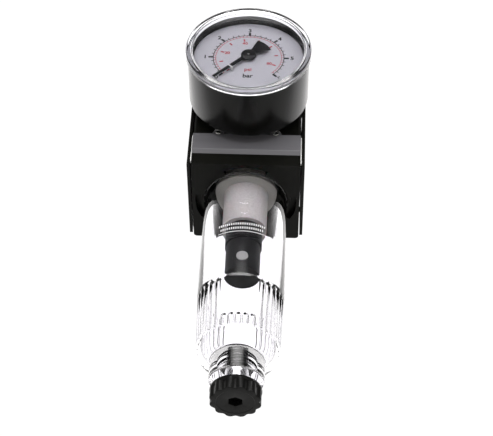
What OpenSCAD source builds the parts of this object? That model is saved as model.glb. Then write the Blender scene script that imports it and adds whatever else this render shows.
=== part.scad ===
// Modular air pressure regulator with a filter bowl and a front gauge, millimetres.
// +Z is up and -Y is the gauge side. The bowl, the springs and the knob share the Z axis.
// z = 0 is the foot of the bracket neck. Most sizes are drawn from the bottom of the block,
// and from_base() drops them to their place.

/* [Body] */
// Width over the two side plates
body_w = 49; // [49:0.5:60]
// Depth of the block, front to back
body_d = 45; // [45:0.5:56]
// Height of the block
body_h = 48; // [48:0.5:60]
// Radius of the block's upright corners
corner_r = 1.5; // [0.5:0.1:2]
// Thickness of a side plate
plate_t = 1.3; // [1:0.1:1.6]
// Slit between a side plate and the block
plate_gap = 0.4; // [0.2:0.1:0.8]
// How far a side plate's front edge stands back from the block's
plate_front = 0.7; // [0:0.1:2]
// How far a side plate's rear edge stands back from the block's
plate_rear = 2.2; // [0:0.1:3]

/* [Ports] */
// Height of the side ports above the block's bottom
port_z = 30; // [29:0.5:30]
// Radius of a side port at its thread crests
port_r = 5.72; // [4.3:0.01:6.2]
// Depth of a side port
port_depth = 12; // [9:0.5:12]
// Radius of a gauge port at its thread crests
gauge_port_r = 4.28; // [3:0.01:4.5]
// Depth of a gauge port
gauge_port_depth = 10; // [8:0.5:11]
// Height of the gauge ports above the block's bottom
gauge_z = 36.4; // [35:0.1:37]

/* [Label bar] */
// Height of the label bar
label_h = 10.7; // [8:0.1:12.4]
// Height of the bar's lower edge above the block's bottom
label_z = 5.9; // [3:0.1:6.5]
// How far the bar stands proud
label_t = 1.5; // [1:0.1:3]
// Side distance of each label screw from the middle
label_screw_x = 12.1; // [9:0.1:16]

/* [Bowl] */
// Outer diameter of the smooth part
bowl_dia = 34.8; // [29:0.1:35]
// Wall of the bowl
bowl_wall = 3.4; // [2.5:0.1:3.6]
// Depth of the smooth part below the block
smooth_h = 55; // [48:0.5:80]
// Depth of the bowl's rounded bottom below the block
bowl_h = 84; // [82:0.5:110]
// Number of grip ribs
rib_count = 36; // [24:2:48]
// Turn that frees the bayonet, in degrees
bowl_turn = 45; // [45:1:60]

/* [Filter] */
// Outer radius of the filter element
element_r = 9.4; // [7:0.1:9.4]
// Depth of the element's lower end below the block
element_h = 18.6; // [12:0.1:19]
// Radius of the baffle cup
cup_r = 7.35; // [6:0.05:7.5]
// Depth of the cup's lower end below the block
cup_h = 42.8; // [36:0.1:44]

/* [Drain] */
// Radius of the drain stem
drain_r = 4.4; // [3.5:0.1:4.6]
// Outer radius of the drain knob
drain_knob_r = 10; // [8:0.05:12]
// Height of the drain knob
drain_knob_h = 6; // [5:0.1:9]
// Lift of the stem when the drain is open
drain_lift = 1.2; // [0.6:0.1:2]

/* [Bonnet and knob] */
// Height of the bonnet's square foot
bonnet_h = 10; // [9:0.5:12]
// Diameter of the threaded bracket neck
neck_dia = 30; // [30:0.5:36]
// Height of the bracket neck
neck_h = 9; // [6:0.5:10]
// Height of the bonnet's nose inside the knob
nose_h = 19; // [18:0.5:24]
// Diameter of the adjusting knob
knob_dia = 28; // [28:0.5:34]
// Height of the adjusting knob
knob_h = 27; // [27:0.5:34]
// Travel of the knob between locked and free
lock_travel = 3; // [2:0.5:3]

/* [Gauge] */
// Diameter of the gauge's clear front ring
gauge_dia = 51; // [50:0.5:63]
// Depth of the gauge from its back to its front
gauge_t = 26.1; // [26.1:0.1:30]
// Depth of the clear front ring
lens_t = 4.35; // [4.35:0.05:5]
// Gap between the gauge's back and the block
gauge_gap = 4.9; // [4:0.1:8]
// Length of the pointer from its hub
pointer_l = 20.5; // [15:0.1:21]

/* [Hidden] */
$fn = 64;
fit = 0.05;
eps = 0.01;
base_drop = body_h + bonnet_h;

// Block
block_w = body_w - 2 * (plate_t + plate_gap);
front_y = -body_d / 2;
bowl_r = bowl_dia / 2;
collar_r = bowl_r + 0.52;
socket_r = collar_r + 0.08;
socket_h = 12;
lug_r = socket_r + 1.5;
groove_r = lug_r + 0.3;
groove_z = [4, 8];
notch_half = 27;
lug_half = 15;
notch_r = groove_r + 0.5;
valve_r = 7.5;
seat_z = 22;
seat_h = 2.4;
outlet_r = 5.5;
chamber_r = 14.5;
chamber_h = 7;
membrane_r = 18;
membrane_t = 1;
screw_x = block_w / 2 - 4.8;
screw_y = body_d / 2 - 4.8;
screw_r = 2;
screw_hole_depth = 12;
drop_x = 14;
orifice_r = 1.5;
pocket_r = [socket_r + 0.9, socket_r + 3.5];
plate_screw_y = 12.5;
plate_screw_z = [8, body_h - 7];

label_screw_z = label_z + label_h + 0.8;
label_screw_r = 1.6;

// Bowl
bowl_ir = bowl_r - bowl_wall;
collar_h = socket_h - 0.8;
rib_proud = 0.9;
rib_base_r = bowl_r - 1.4;
bottom_round = 5;
floor_t = 2.2;
floor_z = -bowl_h + floor_t;
neck_r = 10.7;
neck_end = -bowl_h - 9.6;
oring_w = 1.9;

// Filter stack, from the socket's roof down
guide_flange_h = 1.6;
guide_r = 3.2;
deflector_r = bowl_ir - 0.96;
deflector_z = 1;
deflector_t = 1.8;
hub_r = 9.6;
hub_ir = 7;
vane_count = 12;
cup_top = -element_h;
cup_rim_r = cup_r + 0.45;
cup_rim_z = cup_top - 8.7;
dot_r = 2.3;
dot_z = -cup_h + 5.5;

// Drain
flange_z = floor_z + 0.95;
drain_knob_top = neck_end - 2.9;
drain_knob_end = drain_knob_top - drain_knob_h;
spigot_r = 3.5;
drain_bore = 1.4;

// Regulating parts above the block
neck_top = base_drop + neck_h;
nose_r = knob_dia / 2 - 2.2;
nose_top = neck_top + nose_h;
roof_t = 4;
spring_bore = nose_r - 2.2;
recess_h = 4;
plate_r = 10.5;
plate_z = body_h + 2.2;
spring_wire = 1.6;
spring_r = 7.6;
seat_nut_z = neck_top + 5;
seat_nut_t = 3;
thread_r = 3;
hex_r = 2.95;
collar_z = nose_top - roof_t - 0.8;
knob_z = neck_top + 0.5;
knob_cavity = nose_top + 2;
knob_top = knob_z + knob_h;
cap_r = 10;
cap_t = 2.4;
cap_sink = 1.5;

// Gauge, drawn with its back on z = 0 and its front towards +Z
lens_r = gauge_dia / 2;
case_r = lens_r - 0.7;
case_t = gauge_t - lens_t;
case_ir = case_r - 1.5;
case_back = 1.8;
dial_r = case_ir - 0.1;
dial_z = gauge_t - 5.8;
dial_t = 0.5;
window_r = lens_r - 3.1;
window_t = 1.4;
pointer_z = gauge_t - 3.6;
pointer_t = 0.4;
hub_top_r = 3.2;
zero_angle = 225;
stop_r = 11;
stop_angle = zero_angle + 7.5;
tube_r = 18;
tube_z = [3, 9];
frame_z = [9.5, 14.5];
frame_t = 1;
gear_z = 12;
gear_t = 1.6;
gear_module = 0.4;
pinion_teeth = 10;
sector_teeth = 60;
sector_swing = 45;
pinion_pitch_r = gear_module * pinion_teeth / 2;
sector_pitch_r = gear_module * sector_teeth / 2;
pivot_y = -(pinion_pitch_r + sector_pitch_r);
tail_l = 5;
tail_angle = 287;
tip_angle = -20;
link_travel = 2 * tail_l * sin(sector_swing / 2);
arbor_r = 0.6;

// Moves a shape drawn from the block's bottom to its place
module from_base() {
    translate([0, 0, -base_drop]) children();
}

// Moves a shape drawn on the gauge's back to its place, with its front towards -Y
module at_gauge() {
    from_base() translate([0, front_y - gauge_gap, gauge_z]) rotate([90, 0, 0]) children();
}

// An upright block with rounded corners, centred on Z
module rounded_block(w, d, h, r) {
    difference() {
        translate([-w / 2, -d / 2, 0]) cube([w, d, h]);
        for (a = [0 : 90 : 270]) {
            across = (a % 180 == 0) ? [w, d] : [d, w];
            rotate([0, 0, a]) translate([across[0] / 2 - r, across[1] / 2 - r, -1]) difference() {
                cube([r + 1, r + 1, h + 2]);
                cylinder(r = r, h = h + 2);
            }
        }
    }
}

// A part of a ring between two angles and two heights
module ring_sector(r_in, r_out, from, to, z_low, z_high) {
    rotate([0, 0, from]) rotate_extrude(angle = to - from)
        translate([r_in, z_low]) square([r_out - r_in, z_high - z_low]);
}

// A plain ring
module ring(r_in, r_out, z_low, z_high) {
    translate([0, 0, z_low]) difference() {
        cylinder(r = r_out, h = z_high - z_low);
        translate([0, 0, -1]) cylinder(r = r_in, h = z_high - z_low + 2);
    }
}

// A ring of round section
module oring(r_mid, r_wire, z) {
    translate([0, 0, z]) rotate_extrude() translate([r_mid, 0]) circle(r = r_wire);
}

// A disc outline with rounded waves around its edge
function wavy(r, depth, waves, steps = 8) =
    [for (i = [0 : waves * steps - 1]) let (a = 360 * i / (waves * steps))
        (r - depth * (1 - cos(waves * a)) / 2) * [cos(a), sin(a)]];

// Points of a helical wire, ring by ring
function coil_points(r, wire_r, low, high, turns, steps, sides) =
    [for (i = [0 : steps]) let (a = 360 * turns * i / steps, z = low + (high - low) * i / steps)
        for (k = [0 : sides - 1]) let (b = 360 * k / sides, out = r + wire_r * cos(b))
            [out * cos(a), out * sin(a), z + wire_r * sin(b)]];

module coil(r, wire_r, low, high, turns, steps, sides) {
    rings = [for (i = [0 : steps - 1], k = [0 : sides - 1]) let (j = (k + 1) % sides)
        [i * sides + k, (i + 1) * sides + k, (i + 1) * sides + j, i * sides + j]];
    polyhedron(coil_points(r, wire_r, low + wire_r, high - wire_r, turns, steps, sides),
        concat(rings, [[for (k = [0 : sides - 1]) k]],
            [[for (k = [sides - 1 : -1 : 0]) steps * sides + k]]));
}

// A cap screw pointing down, its head's top at z = 0
module cap_screw(r, head_r, head_h, length, socket_r) {
    difference() {
        union() {
            translate([0, 0, -head_h]) cylinder(r = head_r, h = head_h);
            translate([0, 0, -head_h - length]) cylinder(r = r, h = length + eps);
        }
        translate([0, 0, -head_h / 2]) cylinder(r = socket_r, h = head_h, $fn = 6);
    }
}

// Straight-flanked teeth standing on a root circle, at the angles given
module teeth(pitch_r, angles) {
    pitch = PI * gear_module;
    for (a = angles) rotate([0, 0, a])
        polygon([[pitch_r - 1.3 * gear_module, -0.26 * pitch], [pitch_r, -0.2 * pitch],
            [pitch_r + 0.75 * gear_module, -0.1 * pitch], [pitch_r + 0.75 * gear_module, 0.1 * pitch],
            [pitch_r, 0.2 * pitch], [pitch_r - 1.3 * gear_module, 0.26 * pitch]]);
}

module side_holes() {
    for (y = [-1, 1] * plate_screw_y, z = plate_screw_z) translate([0, y, z]) rotate([0, 90, 0])
        children();
}

module corner_places() {
    for (x = [-1, 1] * screw_x, y = [-1, 1] * screw_y) translate([x, y, 0]) children();
}

module housing() {
    color([0.14, 0.14, 0.13]) from_base() difference() {
        union() {
            rounded_block(block_w, body_d, body_h, corner_r);
            for (s = [-1, 1]) translate([s * (block_w / 2 - 1), 0, port_z]) rotate([0, s * 90, 0])
                cylinder(r = port_r + 4, h = 1 + plate_gap);
        }
        // Bayonet socket for the bowl, with its locking groove and two entries
        translate([0, 0, -1]) cylinder(r = socket_r, h = socket_h + 1);
        translate([0, 0, groove_z[0]]) cylinder(r = groove_r, h = groove_z[1] - groove_z[0]);
        for (a = [-90, 90])
            ring_sector(socket_r - 1, notch_r, a - notch_half, a + notch_half, -1, groove_z[1] - 0.5);
        for (m = [0, 1]) mirror([m, 0, 0]) ring_sector(pocket_r[0], pocket_r[1], -10, 28, -1, 3);
        // Valve chamber, outlet chamber and diaphragm chamber
        cylinder(r = valve_r, h = seat_z + seat_h);
        cylinder(r = outlet_r, h = body_h);
        translate([0, 0, body_h - chamber_h]) cylinder(r = chamber_r, h = chamber_h + 1);
        translate([0, 0, body_h - membrane_t]) cylinder(r = membrane_r + fit, h = membrane_t + 1);
        // Side ports, the drop to the bowl and the outlet
        for (s = [-1, 1]) translate([s * (block_w / 2 + plate_gap - port_depth), 0, port_z])
            rotate([0, s * 90, 0]) cylinder(r = port_r, h = port_depth + 1);
        translate([-drop_x, 0, socket_h - 1]) cylinder(r = 2.6, h = port_z - socket_h + 1);
        translate([0, 0, port_z]) rotate([0, 90, 0]) cylinder(r = 4, h = block_w / 2 - 2);
        // Gauge ports, front and back
        for (s = [-1, 1]) translate([0, s * (body_d / 2 - gauge_port_depth), gauge_z])
            rotate([-s * 90, 0, 0]) cylinder(r = gauge_port_r, h = gauge_port_depth + 1);
        translate([0, front_y + 2, gauge_z]) rotate([-90, 0, 0])
            cylinder(r = orifice_r, h = body_d - 4);
        // Screw holes
        corner_places() translate([0, 0, body_h - screw_hole_depth])
            cylinder(r = screw_r, h = screw_hole_depth + 1);
        for (s = [-1, 1]) mirror([s < 0 ? 1 : 0, 0, 0]) translate([block_w / 2 - 5, 0, 0])
            side_holes() cylinder(r = 1.25, h = 7);
        for (s = [-1, 1]) translate([s * label_screw_x, front_y + 5, label_screw_z])
            rotate([90, 0, 0]) cylinder(r = 1, h = 6);
    }
}

module side_plate(s) {
    color([0.12, 0.12, 0.11]) from_base() mirror([s < 0 ? 1 : 0, 0, 0]) difference() {
        translate([body_w / 2 - plate_t, front_y + plate_front, 0])
            cube([plate_t, body_d - plate_front - plate_rear, body_h]);
        translate([body_w / 2 - plate_t - 1, 0, port_z]) rotate([0, 90, 0])
            cylinder(r = port_r + 1.5, h = plate_t + 2);
        translate([body_w / 2 - plate_t - 1, 0, 0]) side_holes() cylinder(r = 1.3, h = plate_t + 2);
        translate([body_w / 2 - plate_t + 0.2, 0, 0]) side_holes()
            cylinder(r1 = 1.3, r2 = 1.3 + plate_t, h = plate_t);
    }
}

module left_plate() {
    side_plate(-1);
}

module right_plate() {
    side_plate(1);
}

module plate_screws() {
    color("dimgray") from_base() for (m = [0, 1]) mirror([m, 0, 0])
        translate([body_w / 2 - plate_t + 0.2, 0, 0]) side_holes() difference() {
            union() {
                cylinder(r1 = 1.25, r2 = 1.25 + plate_t - 0.3, h = plate_t - 0.3);
                translate([0, 0, -plate_gap - 4.5]) cylinder(r = 1.22, h = plate_gap + 4.5 + eps);
            }
            translate([0, 0, plate_t - 0.9]) cylinder(r = 0.8, h = 2, $fn = 6);
        }
}

module label_bar() {
    label_w = block_w - 0.2;
    color([0.42, 0.42, 0.44]) from_base() difference() {
        union() {
            translate([-label_w / 2, 0, 0]) rotate([90, 0, 90]) linear_extrude(label_w)
                polygon([[front_y, label_z], [front_y - label_t, label_z + label_t],
                    [front_y - label_t, label_z + label_h], [front_y, label_z + label_h]]);
            for (s = [-1, 1]) translate([s * label_screw_x, front_y, label_screw_z])
                rotate([90, 0, 0]) cylinder(r = label_screw_r + 0.8, h = label_t - 0.6);
        }
        for (s = [-1, 1]) translate([s * label_screw_x, front_y + 1, label_screw_z])
            rotate([90, 0, 0]) cylinder(r = 1.1, h = label_t + 2);
        for (s = [-1, 1])
            translate([s * label_screw_x, front_y - label_t + 0.6, label_screw_z])
                rotate([90, 0, 0]) cylinder(r = label_screw_r + 0.1, h = label_t);
    }
}

module label_screws() {
    color("silver") from_base() for (s = [-1, 1])
        translate([s * label_screw_x, front_y - label_t + 0.6, label_screw_z]) rotate([90, 0, 0])
            difference() {
                union() {
                    cylinder(r = label_screw_r, h = 1.3);
                    translate([0, 0, -4.5]) cylinder(r = 0.97, h = 4.6);
                }
                translate([-0.3, -3, 0.8]) cube([0.6, 6, 1]);
            }
}

module bonnet() {
    color([0.13, 0.13, 0.13]) from_base() difference() {
        union() {
            translate([0, 0, body_h]) rounded_block(block_w, body_d, bonnet_h, corner_r);
            translate([0, 0, base_drop - 1]) cylinder(d = neck_dia, h = neck_h + 1);
            translate([0, 0, neck_top - 1]) cylinder(r = nose_r, h = nose_h + 1);
        }
        translate([0, 0, body_h - 1]) cylinder(r = chamber_r, h = recess_h + 1);
        cylinder(r = spring_bore, h = nose_top - roof_t);
        cylinder(r = thread_r + fit, h = nose_top + 1);
        for (a = [0, 90]) rotate([0, 0, a])
            translate([-spring_bore - 1, -1.5, body_h]) cube([2 * spring_bore + 2, 3, collar_z - body_h - 1]);
        corner_places() translate([0, 0, body_h - 1]) cylinder(r = screw_r + 0.2, h = bonnet_h + 2);
        corner_places() translate([0, 0, base_drop - 4.2]) cylinder(r = 3.8, h = 5);
        translate([0, 0, base_drop - 3]) rotate([-90, 0, 0]) cylinder(r = 0.75, h = body_d / 2 + 1);
    }
}

module bonnet_screws() {
    color("silver") from_base() corner_places() translate([0, 0, base_drop - 0.2])
        cap_screw(screw_r - fit, 3.5, 4, bonnet_h - 4.2 + 10, 1.7);
}

module diaphragm() {
    color([0.1, 0.1, 0.1]) from_base() ring(2.8, membrane_r, body_h - membrane_t, body_h);
}

module diaphragm_plate() {
    color("silver") from_base() difference() {
        union() {
            translate([0, 0, body_h]) cylinder(r = plate_r, h = plate_z - body_h);
            translate([0, 0, plate_z - eps]) cylinder(r = 5.6, h = 2.3);
        }
        translate([0, 0, body_h - 1]) cylinder(r = 2.8, h = 6);
    }
}

module relief_seat() {
    color("gold") from_base() difference() {
        union() {
            translate([0, 0, body_h - membrane_t - 1.6]) cylinder(r = 8, h = 1.6);
            translate([0, 0, body_h - membrane_t - 0.1]) cylinder(r = 2.75, h = membrane_t + 4.5);
        }
        translate([0, 0, body_h - membrane_t - 3]) cylinder(r = 0.9, h = 10);
    }
}

module main_spring() {
    color("silver") from_base()
        coil(spring_r, spring_wire / 2, plate_z, seat_nut_z, 6.5, 156, 8);
}

module spring_seat() {
    color([0.75, 0.7, 0.5]) from_base() difference() {
        union() {
            translate([0, 0, seat_nut_z]) cylinder(r = spring_bore - 0.3, h = seat_nut_t);
            translate([0, 0, seat_nut_z - 2.5]) cylinder(r = 5.8, h = 2.6);
            translate([-spring_bore - 0.7, -1.2, seat_nut_z]) cube([2 * spring_bore + 1.4, 2.4, seat_nut_t]);
        }
        translate([0, 0, seat_nut_z - 4]) cylinder(r = thread_r + fit, h = 10);
    }
}

module adjusting_screw() {
    color("silver") from_base() {
        translate([0, 0, seat_nut_z - 9]) cylinder(r = thread_r, h = nose_top - seat_nut_z + 9.5);
        translate([0, 0, collar_z - 1.8]) cylinder(r = 5.5, h = 1.8);
        translate([0, 0, nose_top]) cylinder(r = hex_r, h = knob_top - cap_sink - 0.6 - nose_top, $fn = 6);
    }
}

module thrust_washer() {
    color([0.8, 0.6, 0.3]) from_base()
        ring(thread_r + 0.1, 5.5, collar_z + 0.05, nose_top - roof_t);
}

module adjusting_knob() {
    color([0.12, 0.12, 0.12]) from_base() difference() {
        translate([0, 0, knob_z]) linear_extrude(knob_h) polygon(wavy(knob_dia / 2, 0.9, 24));
        translate([0, 0, knob_z - 1]) cylinder(r = nose_r + 0.3, h = knob_cavity - knob_z + 1);
        translate([0, 0, knob_cavity - 1]) cylinder(r = hex_r + fit, h = knob_h, $fn = 6);
        translate([0, 0, knob_top - cap_sink]) cylinder(r = cap_r + fit, h = cap_sink + 1);
    }
}

module knob_cap() {
    color([0.35, 0.36, 0.38]) from_base() translate([0, 0, knob_top - cap_sink]) {
        cylinder(r = cap_r, h = cap_sink);
        translate([0, 0, cap_sink - eps]) cylinder(r1 = cap_r, r2 = cap_r - cap_t + cap_sink, h = cap_t - cap_sink);
    }
}

module valve_seat() {
    color("gold") from_base() ring(3, valve_r - fit, seat_z, seat_z + seat_h);
}

module valve_poppet() {
    stem_top = body_h - membrane_t - 1.6;
    color([0.85, 0.75, 0.4]) from_base() {
        translate([0, 0, seat_z - 4]) cylinder(r = 5.2, h = 2.8);
        translate([0, 0, seat_z - 1.3]) cylinder(r = 1.2, h = stem_top - seat_z + 1.3);
        translate([0, 0, seat_z - 11]) cylinder(r = 1.6, h = 7.1);
    }
}

module poppet_seal() {
    color([0.1, 0.1, 0.1]) from_base() ring(1.2, 4.8, seat_z - 1.2, seat_z);
}

module valve_spring() {
    color("silver") from_base() coil(2.9, 0.3, socket_h + 2.6, seat_z - 4, 3, 84, 8);
}

module valve_guide() {
    flange_z = socket_h - guide_flange_h;
    color([0.85, 0.85, 0.82]) from_base() difference() {
        union() {
            translate([0, 0, flange_z]) cylinder(r = 11, h = guide_flange_h);
            translate([0, 0, socket_h - eps]) cylinder(r = valve_r - fit, h = 2.6);
            translate([0, 0, cup_top - 6]) cylinder(r = guide_r, h = flange_z - cup_top + 6.1);
        }
        translate([0, 0, 6]) cylinder(r = 1.65, h = 20);
        for (a = [0 : 60 : 300]) rotate([0, 0, a]) translate([5.2, 0, flange_z - 1])
            cylinder(r = 1.1, h = 6);
    }
}

module deflector() {
    color([0.78, 0.77, 0.74]) from_base() {
        ring(hub_ir, hub_r, deflector_z, socket_h - guide_flange_h);
        ring(hub_ir, deflector_r, deflector_z, deflector_z + deflector_t);
        for (i = [0 : vane_count - 1]) rotate([0, 0, i * 360 / vane_count])
            translate([hub_r - 0.3, -0.5, deflector_z + deflector_t - eps]) rotate([0, 0, 20])
                cube([deflector_r - hub_r - 0.3, 1, 2.6]);
    }
}

module filter_element() {
    color([0.9, 0.88, 0.87]) from_base() ring(6.2, element_r, cup_top, deflector_z);
}

module cup_body() {
    translate([0, 0, cup_rim_z]) cylinder(r = cup_rim_r, h = cup_top - cup_rim_z);
    translate([0, 0, -cup_h]) cylinder(r = cup_r, h = cup_h + cup_rim_z + 0.5);
}

module baffle_cup() {
    color([0.28, 0.28, 0.28]) from_base() difference() {
        cup_body();
        translate([0, 0, cup_top - 6.1]) cylinder(r = guide_r + fit, h = 7);
        translate([0, -cup_r + 1.9, dot_z]) rotate([90, 0, 0]) cylinder(r = dot_r + fit / 2, h = 3);
    }
}

module cup_plug() {
    color([0.75, 0.75, 0.74]) from_base() translate([0, -cup_r + 1.6, dot_z]) rotate([90, 0, 0])
        cylinder(r = dot_r, h = 1.8);
}

module bowl() {
    arc = [for (a = [0 : 15 : 90]) [rib_base_r - bottom_round, -bowl_h + bottom_round]
        + bottom_round * [cos(a), -sin(a)]];
    inner = bottom_round - 1;
    inner_arc = [for (a = [90 : -15 : 0]) [bowl_ir - inner, floor_z + inner]
        + inner * [cos(a), -sin(a)]];
    color([0.85, 0.88, 0.92, 0.5]) from_base() difference() {
        union() {
            rotate_extrude() polygon(concat(
                [[bowl_ir, collar_h], [collar_r - 0.4, collar_h], [collar_r, collar_h - 0.4],
                    [collar_r, 0.3], [bowl_r, -0.3], [bowl_r, -smooth_h + 1], [rib_base_r, -smooth_h]],
                arc,
                [[neck_r, -bowl_h], [neck_r, neck_end + 0.6], [neck_r - 0.6, neck_end],
                    [drain_r + fit, neck_end], [drain_r + fit, floor_z]],
                inner_arc));
            translate([0, 0, -bowl_h + bottom_round]) linear_extrude(bowl_h - bottom_round - smooth_h - 1)
                difference() {
                    polygon(wavy(rib_base_r + rib_proud, rib_proud - 0.1, rib_count, 6));
                    circle(r = rib_base_r - 1);
                }
            for (a = [-45, 135])
                ring_sector(collar_r - 1, lug_r, a - lug_half, a + lug_half, groove_z[0] + 0.2, groove_z[1] - 0.3);
        }
        ring(collar_r - 2.05, collar_r + 1, collar_h - 0.5 - oring_w - 0.1, collar_h - 0.5);
    }
}

module bowl_oring() {
    wire = oring_w / 2;
    color([0.08, 0.08, 0.08]) from_base()
        oring(collar_r - 2.05 + wire, wire, collar_h - 0.5 - wire - 0.05);
}

module drain_stem() {
    color([0.2, 0.2, 0.2]) from_base() difference() {
        union() {
            translate([0, 0, flange_z]) cylinder(r = drain_r + 0.95, h = 2.4);
            translate([0, 0, drain_knob_top]) cylinder(r = drain_r, h = flange_z - drain_knob_top + eps);
            translate([0, 0, drain_knob_end + 3]) cylinder(r = spigot_r, h = drain_knob_h - 3 + eps);
        }
        translate([0, 0, drain_knob_end]) cylinder(r = drain_bore, h = flange_z - drain_knob_end);
        translate([0, 0, flange_z - 1.6]) rotate([0, 90, 0]) cylinder(r = 0.6, h = drain_r + 1);
    }
}

module drain_oring() {
    color([0.08, 0.08, 0.08]) from_base() oring(drain_r + 0.47, 0.45, flange_z - 0.45);
}

module drain_knob() {
    color([0.17, 0.17, 0.17]) from_base() difference() {
        union() {
            translate([0, 0, drain_knob_end + 0.8]) linear_extrude(drain_knob_h - 1.6)
                polygon(wavy(drain_knob_r, 1.3, 12));
            translate([0, 0, drain_knob_end]) cylinder(r = drain_knob_r - 1.4, h = drain_knob_h);
        }
        translate([0, 0, drain_knob_end + 3]) cylinder(r = spigot_r + fit, h = drain_knob_h);
        translate([0, 0, drain_knob_end - 1]) cylinder(r = 3.05, h = 5, $fn = 6);
    }
}

module gauge_case() {
    color([0.13, 0.13, 0.13]) at_gauge() difference() {
        union() {
            cylinder(r = case_r - 0.6, h = 1.3);
            translate([0, 0, 1.2]) cylinder(r = case_r, h = case_t - 1.2);
        }
        translate([0, 0, case_back]) cylinder(r = window_r, h = case_t);
        translate([0, 0, dial_z]) cylinder(r = case_ir, h = case_t);
        translate([0, 0, -1]) cylinder(r = 5 + fit, h = 5);
    }
}

module gauge_lens() {
    color([0.9, 0.92, 0.95, 0.4]) at_gauge() {
        difference() {
            translate([0, 0, case_t]) cylinder(r = lens_r, h = lens_t);
            translate([0, 0, case_t - 1]) cylinder(r = window_r, h = lens_t - window_t + 1);
        }
        ring(window_r, case_ir - fit, dial_z + dial_t, case_t + eps);
    }
}

module gauge_dial() {
    color([0.85, 0.85, 0.9]) at_gauge() difference() {
        translate([0, 0, dial_z]) cylinder(r = dial_r, h = dial_t);
        translate([0, 0, dial_z - 1]) cylinder(r = 1.3, h = 3);
        rotate([0, 0, stop_angle]) translate([stop_r, 0, dial_z - 1]) cylinder(r = 0.5, h = 3);
    }
}

module pointer_stop() {
    color("white") at_gauge() rotate([0, 0, stop_angle])
        translate([stop_r, 0, dial_z - 0.3]) cylinder(r = 0.49, h = pointer_z - dial_z + 0.9);
}

module pointer() {
    color([0.1, 0.1, 0.12]) at_gauge() difference() {
        union() {
            translate([0, 0, pointer_z]) rotate([0, 0, zero_angle]) linear_extrude(pointer_t) {
                polygon([[0, -1.1], [pointer_l, -0.5], [pointer_l, 0.5], [0, 1.1]]);
                polygon(concat([[0, 0]], [for (a = [156 : 4 : 204]) 10 * [cos(a), sin(a)]]));
            }
            translate([0, 0, pointer_z - 0.6]) cylinder(r = hub_top_r, h = 1.4);
        }
        translate([0, 0, pointer_z - 2]) cylinder(r = arbor_r, h = 2.4);
    }
}

module pointer_arbor() {
    color("gold") at_gauge() {
        translate([0, 0, frame_z[0] + 0.2]) cylinder(r = arbor_r, h = pointer_z + 0.4 - frame_z[0] - 0.2);
        translate([0, 0, gear_z - 0.2]) linear_extrude(gear_t + 0.4) {
            circle(r = pinion_pitch_r - 1.2 * gear_module);
            teeth(pinion_pitch_r, [for (k = [0 : pinion_teeth - 1]) 18 + 36 * k]);
        }
    }
}

// The toothed sector with its tail and the tail's pin
module sector_gear() {
    root = sector_pitch_r - 1.2 * gear_module;
    color("gold") at_gauge() translate([0, pivot_y, 0]) {
        translate([0, 0, gear_z]) linear_extrude(gear_t) {
            polygon(concat([[0, 0]], [for (a = [36 : 3 : 96]) root * [cos(a), sin(a)]]));
            teeth(sector_pitch_r, [for (k = [0 : 9]) 93 - 6 * k]);
            circle(r = 1.8);
            rotate([0, 0, tail_angle]) translate([0, -0.9]) square([tail_l + 0.9, 1.8]);
        }
        translate([0, 0, frame_z[0] + 0.2]) cylinder(r = arbor_r, h = frame_z[1] - frame_z[0] + 0.6);
        rotate([0, 0, tail_angle]) translate([tail_l, 0, gear_z - 1.1]) cylinder(r = 0.4, h = 1.2);
    }
}

// The link turns on the tail's pin and keeps its direction, along the chord of the pin's swing
module tube_link() {
    chord = tail_angle + sector_swing / 2 + 90;
    sagitta = tail_l * (1 - cos(sector_swing / 2));
    start = [tail_l * cos(tail_angle), pivot_y + tail_l * sin(tail_angle)];
    tip = tube_r * [cos(tip_angle), sin(tip_angle)];
    reach = norm(tip - start);
    bar_w = 3.2;
    color("gold") at_gauge() translate([start[0], start[1], gear_z - 0.9]) rotate([0, 0, chord])
        difference() {
            translate([-1.4, sagitta / 2 - bar_w / 2, 0]) cube([reach + 3, bar_w, 0.6]);
            translate([0, 0, -1]) cylinder(r = 0.4 + fit, h = 3);
            translate([reach - link_travel - 0.6, -0.65, -1])
                cube([link_travel + 1.2, sagitta + 1.3, 3]);
        }
}

module movement_frame() {
    color([0.8, 0.7, 0.4]) at_gauge() difference() {
        union() {
            for (z = frame_z) translate([0, 0, z]) linear_extrude(frame_t) {
                translate([-2.5, pivot_y - 2]) square([5, 9 - pivot_y]);
                translate([-9, pivot_y - 6]) square([11.5, 6]);
            }
            for (p = [[0, 5.5], [-7, pivot_y - 4]]) translate([p[0], p[1], frame_z[0]])
                cylinder(r = 1.2, h = frame_z[1] - frame_z[0] + eps);
        }
        for (y = [0, pivot_y]) translate([0, y, frame_z[0] - 1])
            cylinder(r = arbor_r + fit, h = frame_z[1] - frame_z[0] + 4);
    }
}

module tube_arc() {
    ring_sector(tube_r - 0.9, tube_r + 0.9, tip_angle, 254.5, tube_z[0], tube_z[1]);
}

module bourdon_tube() {
    color("gold") at_gauge() {
        tube_arc();
        rotate([0, 0, tip_angle]) translate([tube_r, 0, tube_z[0]]) cylinder(r = 1.5, h = 6);
        rotate([0, 0, tip_angle]) translate([tube_r, 0, tube_z[1] - eps])
            cylinder(r = 0.45, h = gear_z - 0.1 - tube_z[1]);
    }
}

module gauge_stem() {
    color("gold") at_gauge() difference() {
        union() {
            translate([0, 0, -gauge_gap - 8]) cylinder(r = gauge_port_r - fit / 2, h = 8 + gauge_gap);
            translate([-5.5, -5.5, -gauge_gap + 1]) cube([11, 11, gauge_gap - 1.4]);
            translate([0, 0, -0.5]) cylinder(r = 5, h = 3);
            translate([-4.5, -20.5, case_back]) cube([9, 25, frame_z[0] - case_back]);
        }
        translate([0, 0, -gauge_gap - 9]) cylinder(r = 1.5, h = gauge_gap + 14);
        tube_arc();
    }
}

module gauge_seal() {
    color("white") at_gauge() ring(gauge_port_r, 5.4, -gauge_gap, -gauge_gap + 1);
}

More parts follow.
